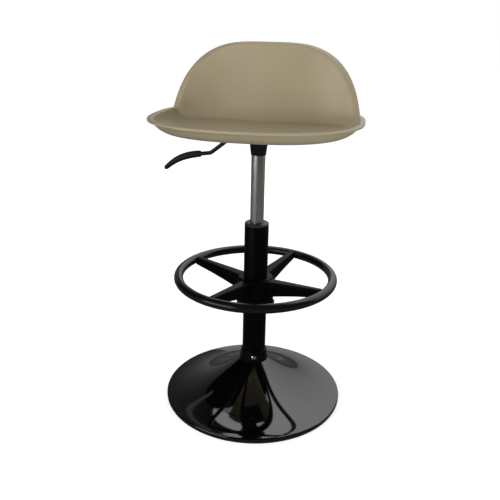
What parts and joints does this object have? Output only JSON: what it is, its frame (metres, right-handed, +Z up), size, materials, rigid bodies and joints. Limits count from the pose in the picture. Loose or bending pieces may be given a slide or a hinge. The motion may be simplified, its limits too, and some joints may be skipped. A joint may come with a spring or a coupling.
{
  "type": "bar stool",
  "caption": "Height-adjustable swivel bar stool with a trumpet base, ring footrest, gas lift with side lever and a low-backed bucket seat.",
  "frame": {"origin": "centre of the base's underside, on the floor and on the column's axis", "axes": "+Z up along the column, -Y toward the front of the seat, -X toward the side with the height lever"},
  "size_m": [0.4048, 0.4039, 0.7499],
  "materials": {
    "floor_rubber": "soft matte rubber pad",
    "cast_weight": "raw casting",
    "base_black": "high-gloss black enamel",
    "dark_steel": "dark painted steel",
    "zinc_steel": "zinc-plated steel",
    "column_black": "satin black powder coat",
    "collar_black": "satin black",
    "bright_screw": "bright screw head",
    "bush_plastic": "black acetal",
    "footrest_black": "gloss black enamel",
    "dark_screw": "blackened steel",
    "bearing_steel": "ground bearing steel",
    "bearing_brass": "pressed brass",
    "buffer_rubber": "rubber buffer",
    "rod_chrome": "hard chrome",
    "cylinder_chrome": "chrome-plated steel",
    "plate_black": "black powder coat",
    "insert_brass": "turned brass",
    "seat_plastic": "satin khaki-beige moulded plastic",
    "lever_black": "black powder coat",
    "grip_plastic": "black moulded grip"
  },
  "bodies": {
    "stand": {"floor_pad": "floor_rubber", "base_weight": "cast_weight", "base_cover": "base_black", "column_flange": "dark_steel", "flange_screws": "zinc_steel", "column_tube": "column_black", "foot_collar": "collar_black", "foot_screw": "bright_screw", "column_bush": "bush_plastic", "footrest_hub": "footrest_black", "footrest_arms": "footrest_black", "footrest_ring": "footrest_black", "hub_screws": "dark_screw", "bearing_lower_race": "bearing_steel"},
    "turning_rod": {"bearing_cage": "bearing_brass", "bearing_balls": "bearing_steel", "bearing_upper_race": "bearing_steel", "bump_stop": "buffer_rubber", "piston_rod": "rod_chrome", "rod_clip": "zinc_steel", "piston": "bush_plastic"},
    "seat_lift": {"gas_cylinder": "cylinder_chrome", "cylinder_guide": "bush_plastic", "seat_socket": "plate_black", "seat_plate": "plate_black", "lever_bracket": "plate_black", "lever_pin": "zinc_steel", "seat_screws": "zinc_steel", "seat_inserts": "insert_brass", "seat_shell": "seat_plastic"},
    "valve": {"valve_pin": "insert_brass"},
    "lever": {"lever_rod": "lever_black", "lever_grip": "grip_plastic"}
  },
  "joints": [
    {"name": "seat_swivel", "type": "hinge", "parent": "stand", "child": "turning_rod", "pos_m": [0, 0, 0.02], "axis": [0, 0, 1], "continuous": true},
    {"name": "seat_height", "type": "slide", "parent": "turning_rod", "child": "seat_lift", "axis": [0, 0, 1], "range_m": [-0.125, 0.075]},
    {"name": "lever_lift", "type": "hinge", "parent": "seat_lift", "child": "lever", "pos_m": [-0.034, 0, 0.5739], "axis": [0, 1, 0], "range_deg": [0, 6], "stiffness_Nm_per_rad": 2, "springref_deg": -5.73},
    {"name": "valve_press", "type": "slide", "parent": "seat_lift", "child": "valve", "axis": [0, 0, -1], "range_m": [0, 0.0036]}
  ],
  "couplings": [
    {"joint": "valve_press", "follows": "lever_lift", "m_per_rad": 0.034}
  ]
}
